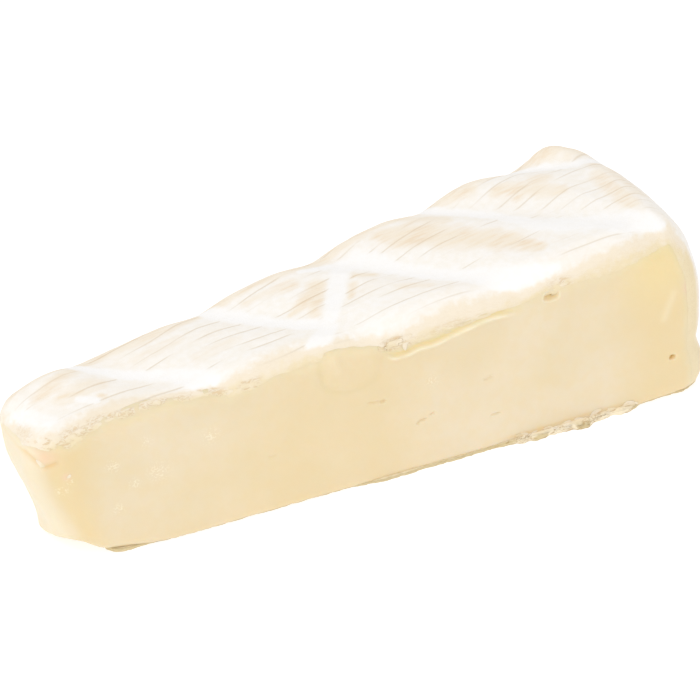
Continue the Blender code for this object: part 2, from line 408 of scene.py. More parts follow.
def over_rim(points):
    """How far a place lies over the rind's rim, or behind it on the heel, negative on the paste."""
    x, y, z = points.T
    front, back = curve_through(x, FRONT_RIM), curve_through(x, BACK_RIM)
    rim = front + (back - front) * between(y, *BACK_TO_FRONT)
    rim += 0.45 * MM * noise(points, 5 * MM, 21) + 0.3 * MM * noise(points, 1.6 * MM, 22)
    highest = top_height(x + CENTRE[0], y + CENTRE[1]) - RIM_DROP
    beyond = x - curve_through(z, HEEL_EDGE) + 0.4 * MM * noise(points, 3 * MM, 23)
    return np.maximum(z - np.minimum(rim, highest), beyond)


def edge_room(x, y):
    """How far a place on the top lies in from the wedge's nearest side, or from its tip."""
    side = half_width(x + CENTRE[0]) - np.abs(y + CENTRE[1])
    return np.maximum(np.minimum(side, x + CENTRE[0] + LENGTH / 2.0), 0.0)


def inside_rind(points):
    """How far a place lies inside the upper rind: the top is inside, also where it is pressed low."""
    x, y, z = points.T
    room = np.where(z > TOP_START, edge_room(x, y) - RIM_ROOM, -RIM_ROOM)
    return np.maximum(over_rim(points), room)


low_corner = np.array([[0.0, -0.018, 0.0]])
print("the foot of the broad face is", (inside_rind(low_corner) / MM).round(1), "mm inside the rind")

# %% [markdown]
# The paste comes first. It is one body, sawn finely along the cut faces. It sinks a little under
# the rind, so that the rind can lie on it. Its broad face is where the knife's work shows: a sharp
# lip of dragged paste with a hollow above it, a melted bulge with a crease round its foot, small
# eyes and slits, and two deeper holes. Each is a rule with a named place and size in millimetres.

# %% Places of the knife's marks
LIP_LINE = ((-7, 31.0), (-2.1, 30.3), (0.3, 29.0), (3, 28.8), (6.3, 29.5), (9, 29.5), (12.7, 30.2),
            (18.1, 31.4), (22.6, 32.0), (26.9, 31.8), (30.5, 31.6))
LIP_START = -1.5 * MM
LIP_END = 29.0 * MM
LIP_RIDGE = (0.28 * MM, 0.60 * MM)
LIP_HOLLOW = (0.80 * MM, 0.50 * MM)
MELT_PLACE = (-8.9 * MM, 29.0 * MM)
MELT_REACH = (6.4 * MM, 4.7 * MM)
DRIP = ((-0.0128, 0.0330), (-0.0119, 0.0296))
SLITS = (
    # across, up, half length, half height, tilt, depth
    (-4.6, 19.5, 1.7, 0.30, -0.03, 0.30),
    (-2.6, 19.2, 0.7, 0.42, -0.06, 0.42),
    (5.4, 11.8, 1.5, 0.36, 0.30, 0.40),
    (8.2, 12.8, 0.7, 0.33, 0.50, 0.36),
    (21.1, 17.7, 1.2, 0.28, 0.05, 0.32),
    (22.4, 8.5, 1.3, 0.30, 0.10, 0.35),
    (-27.6, 13.6, 0.9, 0.30, -0.2, 0.18),
    (36.4, 33.4, 1.85, 0.90, 0.08, 0.95),
    (64.3, 10.2, 0.80, 0.60, 0.0, 1.1),
)
CREASE = ((-0.0766, 0.0276), (-0.0752, 0.0257), (-0.0740, 0.0247), (-0.0722, 0.0256))
SCRAPE = ((0.0645, 0.0262), (0.0622, 0.0205))
SMEAR = ((-0.0115, 0.0335), (-0.0165, 0.0225))
print(len(SLITS), "slits and holes")

# %% Heights of the knife's marks
LIP_RISE = 0.62 * MM
LIP_HOLLOW_DEPTH = 0.30 * MM
MELT_RISE = 0.30 * MM
MELT_CREASE_DEPTH = 0.16 * MM
FOLD_DEPTH = 0.35 * MM
FOLD_REACH = 0.45 * MM
SCRAPE_RISE = 0.12 * MM
SMEAR_RISE = 0.10 * MM
DRAG_REACH = 0.9 * MM
DRIP_RISE = 0.24 * MM
DRIP_REACH = 1.0 * MM
HOLE_RIM_RISE = 0.08 * MM
# The depth at which a hole is painted fully shaded.
SHADE_DEPTH = 1.2 * MM
print("the lip stands", LIP_RISE / MM, "mm out of the face")

# %% The shape of a slit
def slit(x, z, place):
    """1 in the middle of a small eye or slit in the face, and 0 outside it."""
    across, up, half_length, half_height, tilt, _ = place
    here = stacked(x, z, half_length * MM)
    right = x - across * MM + 0.35 * MM * noise(here, 1.4 * MM, 24)
    rise = z - up * MM + 0.22 * MM * noise(here, 0.9 * MM, 25)
    along = right * math.cos(tilt) + rise * math.sin(tilt)
    over = rise * math.cos(tilt) - right * math.sin(tilt)
    return np.exp(-((along / (half_length * MM)) ** 4) - (over / (half_height * MM)) ** 2)


# %% The lip and the melted bulge
def lip_shape(x, z):
    """The height of the knife's lip, and how deep in the hollow above it a place is."""
    over = z - curve_through(x, LIP_LINE)
    along = between(x, LIP_START, LIP_START + 3 * MM) * between(x, LIP_END, LIP_END - 5 * MM)
    curl = 0.7 + 0.3 * noise(stacked(x, z, 0.0), 2.2 * MM, 26)
    ridge = np.where(over > 0.0, hump(over, LIP_RIDGE[0]), hump(over, LIP_RIDGE[1])) * curl
    return along * ridge, along * hump(over - LIP_HOLLOW[0], LIP_HOLLOW[1])


def melt_shape(x, z):
    """The melted bulge, and the crease round its foot."""
    place = stacked(x, z, 0.0)
    beside = np.abs(x - MELT_PLACE[0]) / MELT_REACH[0]
    below = np.maximum(MELT_PLACE[1] - z, 0.0) / MELT_REACH[1]
    spread = (beside ** 3 + below ** 3) ** (1.0 / 3.0) + 0.10 * noise(place, 4.5 * MM, 27)
    top = between(z, MELT_PLACE[1] + 6 * MM, MELT_PLACE[1] + 1 * MM)
    bulge = between(spread, 1.15, 0.70) * top
    uneven = 0.55 + 0.45 * between(noise(place, 5.5 * MM, 28), -0.5, 0.4)
    uneven *= between(x, MELT_PLACE[0] + 11 * MM, MELT_PLACE[0] - 5 * MM)
    return bulge, hump(spread - 1.04, 0.12) * top * uneven


# %% All the marks of the broad face
def face_relief(points):
    """How far the broad face stands out, its painted shade and highlights, and the lip's yellow hollow."""
    x, _, z = points.T
    ridge, hollow = lip_shape(x, z)
    bulge, crease = melt_shape(x, z)
    marks = [slit(x, z, place) for place in SLITS]
    depth = sum(place[5] * MM * mark for place, mark in zip(SLITS, marks))
    pits = np.max(marks, axis=0)
    rims = between(pits, 0.0, 0.12) * between(pits, 0.5, 0.15) * between(depth, 0.02 * MM, 0.15 * MM)
    fold = np.min([line_distance(x, z, *pair) for pair in zip(CREASE, CREASE[1:])], axis=0)
    folded = hump(fold, FOLD_REACH)
    scrape = hump(line_distance(x, z, *SCRAPE), DRAG_REACH)
    smear = hump(line_distance(x, z, *SMEAR), DRAG_REACH)
    drip = hump(line_distance(x, z, *DRIP), DRIP_REACH)
    relief = LIP_RISE * ridge - LIP_HOLLOW_DEPTH * hollow + MELT_RISE * bulge - MELT_CREASE_DEPTH * crease
    relief += SCRAPE_RISE * scrape + SMEAR_RISE * smear + DRIP_RISE * drip + HOLE_RIM_RISE * rims
    relief -= depth + FOLD_DEPTH * folded
    # Painted shade: darker in the holes by their depth, and along the fold near the tip.
    painted_shade = np.maximum(np.clip(depth / SHADE_DEPTH, 0.0, 1.0) ** 1.3, 0.42 * folded)
    # Painted highlights on the lip's ridge, the rims of the holes, the scrape and the drip.
    light = np.maximum.reduce([ridge, 0.5 * rims, 0.3 * scrape, 0.15 * drip])
    return relief, painted_shade, light, hollow, crease


deepest = np.array([[SLITS[-1][0], 0.0, SLITS[-1][1]]]) * MM
print("the deepest hole lies", (face_relief(deepest)[0] / MM).round(2), "mm out of the face")

# %% [markdown]
# A knife never cuts soft paste quite flat, so both cut faces have gentle waves, long along the cut
# and short across it. The narrow face, which is seen less often, has only these and a few eyes.

# %% Unevenness of the cut faces
CUT_STRETCH = np.array([0.42, 1.0, 1.0])


def cut_waves(points):
    """The gentle waves that a knife leaves in soft paste."""
    along = points * CUT_STRETCH
    slow = 0.16 * MM * noise(along, 6.5 * MM, 31)
    fast = 0.05 * MM * noise(along, 2.1 * MM, 32) + 0.018 * MM * noise(points, 0.9 * MM, 33)
    return slow + fast


BACK_SLITS = (
    # across, up, half length, half height, tilt, depth
    (-34.0, 17.0, 1.8, 0.5, 0.1, 0.9),
    (-12.0, 9.5, 1.3, 0.6, -0.2, 0.8),
    (9.0, 22.0, 2.4, 0.5, 0.25, 1.0),
    (27.0, 12.5, 1.1, 0.8, 0.0, 1.1),
    (44.0, 25.0, 1.6, 0.5, -0.1, 0.8),
)


def back_relief(points):
    """The eyes of the narrow cut face, which is seen less often: their depth, and a mask painted as shade.
    """
    x, _, z = points.T
    marks = [slit(x, z, place) for place in BACK_SLITS]
    depth = sum(place[5] * MM * mark for place, mark in zip(BACK_SLITS, marks))
    return -depth, np.max(marks, axis=0)


print(len(BACK_SLITS), "eyes in the narrow face")

# %% [markdown]
# A finished block becomes a mesh object. Its points are then moved as one array, which is quick,
# and what a material needs to know of them, such as where paste is warmer, is painted on the points.

# %% Make a mesh object from a sawn block
def mesh_object(name, mesh):
    """Turns a bmesh into a smooth object at the origin."""
    data = bpy.data.meshes.new(name)
    mesh.to_mesh(data)
    mesh.free()
    data.shade_smooth()
    piece = bpy.data.objects.new(name, data)
    bpy.context.collection.objects.link(piece)
    return piece


def read(data, what):
    """The places or the normals of a mesh's points as an array."""
    values = np.empty(len(data.vertices) * 3)
    source = data.vertices if what == "co" else data.vertex_normals
    source.foreach_get("co" if what == "co" else "vector", values)
    return values.reshape(-1, 3)


def move_points(data, places):
    """Puts a mesh's points at new places."""
    data.vertices.foreach_set("co", places.astype(np.float32).ravel())
    data.update()


def paint(data, name, *channels):
    """Keeps up to four masks on a mesh's points as one attribute for its material."""
    layer = data.attributes.new(name, "FLOAT_COLOR", "POINT")
    values = np.ones((len(data.vertices), 4), np.float32)
    for place, channel in enumerate(channels):
        values[:, place] = channel
    layer.data.foreach_set("color", values.ravel())


print("masks are painted four at a time")

# %% [markdown]
# The lower rind comes into the paste's own rules, because the paste rests on it. It peeps out along
# the broad face in three stretches: a flap at the tip, a thin line in the middle, and a ragged strip
# of flakes near the heel. One rule gives that outline to both pieces, so that they always meet.

# %% Where the lower rind shows
TIP_FLAP_PLACE = -62.6 * MM
TIP_FLAP_REACH = 4.8 * MM
TUCKED_IN = -1.6 * MM


def loose_edge(x):
    """Where the knife pulled the lower rind out from under the paste."""
    return between(x, 16.0 * MM, 30 * MM) * between(x, 59 * MM, 50 * MM)


def low_outline(x, at_back):
    """How far the lower rind's edge stands out past the paste, along each side."""
    line = stacked(x, 0.0, 0.0)
    coarse, fine, finest = noise(line, 6 * MM, 81), noise(line, 1.7 * MM, 82), noise(line, 0.8 * MM, 85)
    tip_flap = hump(x - TIP_FLAP_PLACE, TIP_FLAP_REACH)
    peeping = between(x, -14 * MM, 0.0) * between(x, 26 * MM, 12 * MM)
    front = TUCKED_IN + loose_edge(x) * (2.1 * MM + 0.6 * MM * coarse + 0.6 * MM * fine)
    front += (2.3 * MM + 0.4 * MM * fine) * tip_flap + (1.3 * MM + 0.4 * MM * coarse) * peeping
    return np.where(at_back, -0.9 * MM + 0.3 * MM * coarse, front) + 0.18 * MM * finest


flakes_at = np.array([0.040])
print("near the heel it stands out by", (low_outline(flakes_at, False) / MM).round(2), "mm")

# %% [markdown]
# Slits need more points than a plain face does. Sawing the whole block finely enough would make it
# far too heavy, so only what lies round a slit or along the lip is sawn once more.

# %% Cut the paste
PASTE_CUTS = (300, 34, 84)
PASTE_CROWDING = (0.10, 0.30, 0.35)
FINE_REACH = 2.6 * MM


def saw_finer(mesh, crowding):
    """Saws the block once more round each slit of the broad face and along the lip."""
    points = wedge_points(places_of(mesh), crowding) - CENTRE
    x, y, z = points.T
    near = np.min([np.hypot(x - s[0] * MM, z - s[1] * MM) for s in SLITS], axis=0) < FINE_REACH
    lip = np.abs(z - curve_through(x, LIP_LINE) - 0.4 * MM) < 1.6 * MM
    fine = (near | (lip & (x > LIP_START) & (x < LIP_END))) & (y < -0.005)
    mesh.verts.ensure_lookup_table()
    mesh.verts.index_update()
    chosen = [e for e in mesh.edges if fine[e.verts[0].index] and fine[e.verts[1].index]]
    bmesh.ops.subdivide_edges(mesh, edges=chosen, cuts=1, use_grid_fill=True)


block = sawn_block(*PASTE_CUTS)
saw_finer(block, PASTE_CROWDING)
paste_places = wedge_points(places_of(block), PASTE_CROWDING) - CENTRE
cheese_paste = mesh_object("cheese_paste", block)
move_points(cheese_paste.data, paste_places)
print("paste", len(cheese_paste.data.vertices), "points")

# %% How the paste lies on the lower rind
LOW_SEAT = 0.5 * MM
LOW_GAP = 0.06 * MM
LOW_RIND_START = -67.0 * MM
FOOT_RISE = 1.5 * MM
FOOT_RISE_PLACE = -68.5 * MM
FOOT_RISE_REACH = 3.2 * MM


def paste_lift(points):
    """How far the paste is lifted: all of its underside, and a hollow in the tip's foot."""
    x, y, z = points.T
    seated = between(edge_room(x, y) + low_outline(x, y > 0.0), -0.5 * MM, 0.5 * MM)
    seated *= between(x, LOW_RIND_START - 1.5 * MM, LOW_RIND_START + 0.5 * MM)
    lift = between(z, 0.6 * MM, 0.0) * (LOW_GAP + (LOW_SEAT - LOW_GAP) * seated)
    return lift + FOOT_RISE * hump(x - FOOT_RISE_PLACE, FOOT_RISE_REACH) * between(z, 11 * MM, 0.0)


print("paste lifted by at most", (paste_lift(paste_places).max() / MM).round(2), "mm")

# %% [markdown]
# The paste isn't one colour. It is a warmer cream near the base, at the heel and on the corner of
# the tip, pink where it dried, and pale where the blade scuffed it. Each of these is a soft mask
# that is painted on the points, which keeps the material itself simple.

# %% Where the paste is warmer or marked
SCUFFS = (
    # across, up, reach
    (-60.9, 21.7, 1.3), (-51.7, 17.6, 1.9), (-56.9, 16.3, 1.2), (-60.9, 11.1, 1.1), (-69.9, 20.6, 0.8),
    (-71.6, 18.6, 1.1), (-53.5, 25.2, 1.0), (-40.0, 22.5, 1.6), (8.5, 21.0, 1.2),
)
PINK_PLACES = ((-74.0, 27.0, 2.3), (-70.5, 22.0, 0.9), (68.0, 26.6, 1.4))
YELLOW_PLACE = (61.0 * MM, 33.0 * MM)
YELLOW_REACH = 7.5 * MM


def spots(x, z, places):
    """Soft round spots on the cut faces, from 0 to 1."""
    return np.max([hump(np.hypot(x - s[0] * MM, z - s[1] * MM), s[2] * MM) for s in places], axis=0)


def paste_warmth(points, outward):
    """How warm the paste's cream is, from 0 to 1."""
    x, _, z = points.T
    cloudy = 0.5 + 0.5 * layered_noise(points * CUT_STRETCH, 14 * MM, 41)
    near_base = between(z, 12 * MM, 4 * MM) * between(x, 10 * MM, -55 * MM)
    near_heel = between(x, 46 * MM, 62 * MM)
    at_corner = between(x, -62 * MM, -69 * MM) * between(outward[:, 0], -0.80, -0.50)
    middle = between(x, -48 * MM, -22 * MM) * between(x, 14 * MM, -4 * MM)
    warm = 0.45 * cloudy + 0.12 * near_base + 0.65 * near_heel + 0.30 * middle + 0.60 * at_corner
    return np.clip(warm, 0.0, 1.0)


print(len(SCUFFS), "scuffs and", len(PINK_PLACES), "pink places")

# %% Give the paste its relief
SEAT_DEPTH = 0.9 * MM


def relieve_paste(piece):
    """Moves the paste's points in and out by the rules above and paints its masks."""
    points, outward = read(piece.data, "co"), read(piece.data, "vector")
    x, _, z = points.T
    front = between(-outward[:, 1] - 0.9 * np.minimum(outward[:, 0], 0.0), 0.45, 0.85)
    back = between(outward[:, 1], 0.45, 0.85)
    at_tip = between(outward[:, 0], -0.60, -0.92)
    inside = inside_rind(points)
    rise, hollow, light, yellow, crease_shade = face_relief(points)
    back_rise, back_hollow = back_relief(points)
    move = rise * front + back_rise * back + cut_waves(points) * between(inside, -0.3 * MM, -3 * MM)
    move -= SEAT_DEPTH * between(inside, 0.6 * MM, 2.0 * MM)
    moved = points + outward * move[:, None]
    moved[:, 2] += paste_lift(points)
    move_points(piece.data, moved)
    near_rim = between(inside + 0.8 * MM * noise(points, 4 * MM, 42), -2.6 * MM, -0.1 * MM)
    # Painted shadow: a darker line along the foot of the broad face, above the loose lower rind.
    seam = hump(z - 1.75 * MM, 0.45 * MM) * loose_edge(x)
    # The hollow mask carries the painted shade of the holes, folds and eyes, and that shadow line.
    hollow = np.maximum(hollow * front + back_hollow * back, 0.35 * seam * front)
    # Painted light: the tip face, which faces the lamp, is painted lighter.
    light = np.maximum(light * front, 0.50 * at_tip)
    at_heel_top = hump(x - YELLOW_PLACE[0], YELLOW_REACH) * hump(z - YELLOW_PLACE[1], YELLOW_REACH)
    yellow = np.maximum(yellow, 0.65 * at_heel_top) * front
    pink, scuffs = (spots(x, z, places) * (1.0 - back) for places in (PINK_PLACES, SCUFFS))
    paint(piece.data, "paste_marks", paste_warmth(points, outward), hollow, near_rim, light)
    # The third tint is painted shade in the crease round the melted bulge.
    paint(piece.data, "paste_tints", yellow, pink, crease_shade * front, scuffs)


relieve_paste(cheese_paste)
print("paste relieved")

# %% [markdown]
# The rind is a felt of white mould about a millimetre thick. Racks have pressed bands into it and
# left fine lines on the pillows between, and handling has worn the pillows to peach. It is made as
# a shell: the same block, sawn finely on top, keeps only what lies inside the rim, dives under the
# paste at its edge, and is given its thickness by a Solidify modifier.
#
# Fresh white powder lies thick in the pressed bands, where nothing rubs it off. Seen closely, such a
# deposit is a row of broad uneven strokes, so a table gives each stroke's course and its reach, and
# one rule turns any such table into a soft mask.

# %% The white powder that lies in the bands
POWDER = (
    # strength, then places along a stroke with its reach at each, in millimetres
    (1.0, (-61.5, 11.0, 0.8), (-58.5, 7.5, 1.3), (-51.1, 1.2, 1.6), (-43.4, -5.4, 2.2),
     (-39.0, -11.0, 3.2)),
    (1.0, (-30.5, 17.0, 1.1), (-28.0, 13.0, 1.6), (-25.4, 8.8, 2.4), (-23.0, 5.1, 2.0),
     (-17.3, -2.4, 1.7), (-10.1, -9.8, 1.9), (-13.2, -13.6, 2.2), (-16.2, -14.9, 1.5)),
    (1.0, (-5.5, 11.6, 0.9), (1.0, 10.5, 1.3), (7.0, 8.9, 3.0), (9.1, 5.1, 2.6), (12.2, -0.4, 2.1),
     (17.7, -7.9, 2.1), (23.6, -14.4, 2.4), (30.3, -19.4, 2.6), (37.7, -21.8, 1.4)),
    (1.0, (23.5, 25.0, 0.9), (26.0, 21.0, 1.2), (28.3, 17.8, 1.5), (33.6, 11.7, 1.5), (39.0, 3.6, 1.8),
     (42.9, -6.7, 2.8), (49.7, -11.8, 4.2), (56.7, -16.6, 3.8), (64.0, -21.4, 1.2)),
    (1.0, (46.5, 24.5, 0.8), (50.0, 21.0, 1.1), (53.8, 18.0, 1.4), (57.5, 15.5, 1.7),
     (61.8, 12.0, 1.5), (69.5, 11.9, 1.0)),
    (1.0, (2.3, 7.7, 2.3), (-3.0, -0.2, 1.9), (-8.2, -8.0, 1.6)),
    (0.7, (-75.5, 1.6, 1.6), (-73.3, -1.9, 1.8), (-70.4, -5.6, 1.6)),
    (0.8, (-62.8, -3.1, 0.9), (-60.3, -5.1, 1.0)),
)


def strokes(x, y, table, uneven, soft=0.0):
    """How strongly broad uneven strokes cover a place of the top, from 0 to 1."""
    cover = np.zeros_like(x)
    for strength, *places in table:
        for start, end in zip(places, places[1:]):
            along, away = line_place(x, y, np.array(start) * MM, np.array(end) * MM)
            reach = (start[2] + (end[2] - start[2]) * along) * MM
            here = between(away / reach + uneven, 1.45 + soft, 0.55 - soft)
            cover = np.maximum(cover, strength * here)
    return cover


def band_powder(x, y):
    """How thickly white powder lies on a place of the top, from 0 to 1."""
    return strokes(x, y, POWDER, 0.20 * noise(stacked(x, y, 0.0), 2.4 * MM, 64))


print(len(POWDER), "strokes of powder")

# %% [markdown]
# Between the bands the rack's wires left fine lines along each pillow. They fan out a little and
# come and go. Cutting them into the mesh alone would need far more points, so a shallow groove is
# cut, and how far a point is off the nearest line is kept for the material, which draws it sharply.

# %% The fine lines on the pillows
LINE_SPACING = 3.7 * MM
LINE_WIDTH = 0.50 * MM
LINE_TURN = 0.105
LINE_FAN = 9.0
LINE_DRIFT = 0.8 * MM
LINE_STARTS = np.random.default_rng(52).uniform(0.25, 0.75, 512)


def pillow_lines(points):
    """Fine lines along each pillow: how far off the nearest one is, and how strong it is."""
    x, y, _ = points.T
    crossings = [b[0][0] + (y - b[0][1]) * (b[1][0] - b[0][0]) / (b[1][1] - b[0][1]) for b in MAIN_BANDS]
    pillow = np.sum([x > crossing for crossing in crossings], axis=0)
    along = x - np.choose(pillow, [c - 14 * MM for c in crossings] + [crossings[-1] + 12 * MM])
    drift = noise(stacked(x, y, 9 * MM * pillow), 11 * MM, 51)
    rows = (y - (LINE_TURN + LINE_FAN * y) * along + LINE_DRIFT * drift) / LINE_SPACING
    row = np.floor(rows)
    start = LINE_STARTS[(row * 7 + pillow * 31).astype(int) % len(LINE_STARTS)]
    there = noise(stacked(x, row * 5 * MM, 5 * MM * pillow), 7.5 * MM, 53)
    seam = np.min([np.abs(x - crossing) for crossing in crossings], axis=0)
    fade = (1.0 - between(band_powder(x, y), 0.12, 0.55)) * between(seam, 0.8 * MM, 2.6 * MM)
    plain = 0.60 + 0.40 * between(x, -66 * MM, -56 * MM) - 0.20 * between(x, 4 * MM, 18 * MM)
    return (rows - row - start) * LINE_SPACING, between(there, -0.60, 0.25) * fade * plain


print("lines", LINE_SPACING / MM, "mm apart")

# %% [markdown]
# Rubbing has worn the crests of the pillows, so that the peach skin shows through the mould. The
# same rule of strokes places the worn patches, with a raggedness that is drawn out along the wedge.

# %% Where the mould has worn to peach
WORN = (
    # strength, then places along a stroke with its reach at each, in millimetres
    (0.9, (-69.1, 2.5, 2.4), (-60.9, 6.2, 2.2)), (0.7, (-66.3, -1.3, 2.0), (-58.0, 0.3, 2.2)),
    (1.0, (-66.2, -0.6, 0.6), (-63.9, -1.3, 0.7), (-61.2, -1.3, 0.5)),
    (1.0, (-58.6, -4.4, 0.8), (-58.2, -4.8, 0.6)),
    (0.5, (-48.0, 4.0, 1.5), (-38.0, 5.0, 2.0)), (0.5, (-37.0, -4.0, 1.6), (-29.0, -3.0, 2.0)),
    (1.0, (-4.8, 4.4, 2.2), (-10.2, -4.2, 1.8)), (1.0, (-8.0, 0.5, 2.6), (-14.2, -1.2, 1.0)),
    (0.8, (-20.0, 9.0, 1.6), (-10.0, 8.0, 2.0)),
    (1.0, (2.8, 3.2, 1.7), (6.2, 1.0, 1.3)), (1.0, (1.0, -0.3, 1.6), (-1.8, -4.6, 0.8)),
    (0.6, (8.0, -8.0, 1.2), (13.0, -11.0, 1.6)),
    (1.0, (15.0, 13.0, 2.6), (18.7, 9.1, 4.2), (23.8, 2.8, 4.4), (30.3, -3.0, 4.2), (35.7, -10.5, 2.8),
     (38.2, -14.5, 1.6)),
    (0.8, (22.0, 16.0, 2.4), (28.0, 10.0, 2.4)), (0.9, (33.5, 18.5, 2.0), (39.0, 16.5, 2.4)),
    (0.9, (43.9, 11.8, 2.4), (48.7, 7.1, 2.8), (53.4, 2.4, 2.0)),
    (0.8, (45.5, 7.0, 1.8), (53.1, 9.5, 2.2)),
    (0.8, (63.4, 2.1, 2.4), (62.3, -5.8, 2.4), (62.0, -13.0, 2.0)),
    (0.7, (67.0, 9.0, 2.6), (66.5, -9.0, 3.0)),
    (1.0, (58.0, 22.0, 5.4), (67.0, 19.5, 5.4)),
)
BACK_EDGE_WEAR = 0.95
HEEL_WEAR = 0.65


def worn_mould(points, outward):
    """How much of the white mould has gone, between 0 and 1."""
    x, y, z = points.T
    streaks = stacked(0.3 * x, y - 0.1 * x, 0.3 * z)
    ragged = 0.60 * layered_noise(streaks, 2.6 * MM, 61) + 0.25 * noise(points, 9 * MM, 62)
    edge = half_width(x) - y
    back_edge = between(edge + 3 * MM * ragged, 7.0 * MM, 3.2 * MM) * between(y, 0.0, 4 * MM)
    upward = between(outward[:, 2], 0.2, 0.6)
    thin = 0.20 + 0.20 * layered_noise(streaks, 5 * MM, 65)
    on_top = np.maximum.reduce([strokes(x, y, WORN, ragged, 0.35), BACK_EDGE_WEAR * back_edge, thin])
    on_top *= 1.0 - band_powder(x, y)
    on_heel = HEEL_WEAR * between(layered_noise(points, 8 * MM, 63), 0.0, 0.5)
    return on_top * upward + on_heel * (1.0 - upward)


print(len(WORN), "worn strokes")

# %% [markdown]
# The shell of the rind is the block once more, sawn evenly. Deleting the points below the rim leaves
# an open sheet over the top and the heel. It keeps a little more than shows, to dive under the paste.

# %% Cut the rind
RIND_CUTS = (276, 100, 56)
RIND_CROWDING = (0.12, 0.20, 0.45)
RIND_KEEP = -2.4 * MM
HEEL_FOOT = 1.0 * MM

block = sawn_block(*RIND_CUTS)
rind_places = wedge_points(places_of(block), RIND_CROWDING) - CENTRE
outside = (inside_rind(rind_places) < RIND_KEEP) | (rind_places[:, 2] < HEEL_FOOT)
block.verts.ensure_lookup_table()
spare = [block.verts[int(place)] for place in np.flatnonzero(outside)]
bmesh.ops.delete(block, geom=spare, context="VERTS")
upper_rind = mesh_object("upper_rind", block)
move_points(upper_rind.data, rind_places[~outside])
print("upper rind", len(upper_rind.data.vertices), "points")

# %% [markdown]
# Where the knife went through the rind it pushed the edge together into short folds, and the felt
# turns to a cream skirt there. Both follow the rim, in some places more than in others. How far a
# point is from the rim, measured over the edge onto the top, is what these rules read.

# %% Where the knife crumpled the edge
CRUMPLED = (
    # along the rim, reach, strength
    (-73.0, 7.0, 1.0), (-58.0, 7.0, 0.9), (-49.0, 5.0, 0.8), (-39.0, 3.0, 0.9), (-31.0, 2.5, 0.9),
    (1.5, 3.0, 1.0), (14.0, 9.0, 0.30), (38.5, 2.6, 0.6),
)


def crumpled_edge(points, from_rim):
    """How much the knife pushed the rind's edge together: in a few places along the rim."""
    x, y, _ = points.T
    reach = 3.6 * MM + 2.4 * MM * between(x, -52 * MM, -66 * MM)
    near_edge = between(from_rim, reach, 0.4 * reach) * between(from_rim, -1.2 * MM, 0.0)
    near_edge *= between(y, 4 * MM, -2 * MM)
    there = 0.08 + sum(strength * hump(x - along * MM, reach * MM) for along, reach, strength in CRUMPLED)
    return near_edge * np.clip(there, 0.0, 1.0)


print(len(CRUMPLED), "crumpled places")

# %% The cream skirt along the edge
SKIRT_EDGE = (
    # along the rim, width
    (-78, 7.0), (-68, 10.0), (-58, 10.5), (-50, 7.5), (-42, 5.0), (-36, 6.2), (-30, 10.8), (-21, 10.2),
    (-12, 8.0), (-2, 6.4), (5, 8.4), (10, 9.6), (21, 8.4), (30, 5.0), (35, 3.4), (40, 6.4), (48, 8.6),
    (58, 9.6), (66, 9.0),
)
SKIRT_FRAY = 1.1 * MM
SKIRT_STRETCH = np.array([0.35, 1.0, 1.0])


def rind_skirt(points, outward, powder, from_rim):
    """The cream skirt of the rind's edge and round the heel's foot, from 0 to 1, less on the lit tip side.
    """
    x, y, z = points.T
    width = curve_through(x, SKIRT_EDGE) * (1.0 - 0.30 * powder)
    width *= 0.55 + 0.45 * between(y, 3 * MM, -3 * MM)
    ragged_rim = from_rim + SKIRT_FRAY * noise(points * SKIRT_STRETCH, 3.0 * MM, 78)
    at_heel = between(x, 60 * MM, 68 * MM)
    low_heel = at_heel * between(z, 17 * MM, 9 * MM) * between(ragged_rim, 14 * MM, 5 * MM)
    heel_strip = at_heel * between(ragged_rim, 7.5 * MM, 2.5 * MM) * between(y, -8 * MM, -16 * MM)
    heel_strip *= between(z, 38 * MM, 33 * MM)
    skirt = np.maximum.reduce([between(ragged_rim, width, -0.3 * width), low_heel, heel_strip])
    # Painted light: less of the darker cream on the tip side, which faces the lamp, so it is painted
    # lighter.
    return skirt * (1.0 - 0.55 * between(outward[:, 0], -0.55, -0.90))


print("the skirt is at most", max(width for _, width in SKIRT_EDGE), "mm wide")

# %% Give the rind its relief
RIND_LIFT = 0.03 * MM
RIND_DIVE = 0.7 * MM
LINE_DEPTH = 0.10 * MM
WRINKLE_RISE = 0.09 * MM
FUZZ_RISE = 0.03 * MM
CRUMPLE_RISE = 0.12 * MM
LIP_FOLLOW = 0.30 * MM
WRINKLE_STRETCH = np.array([0.5, 1.0, 1.0])


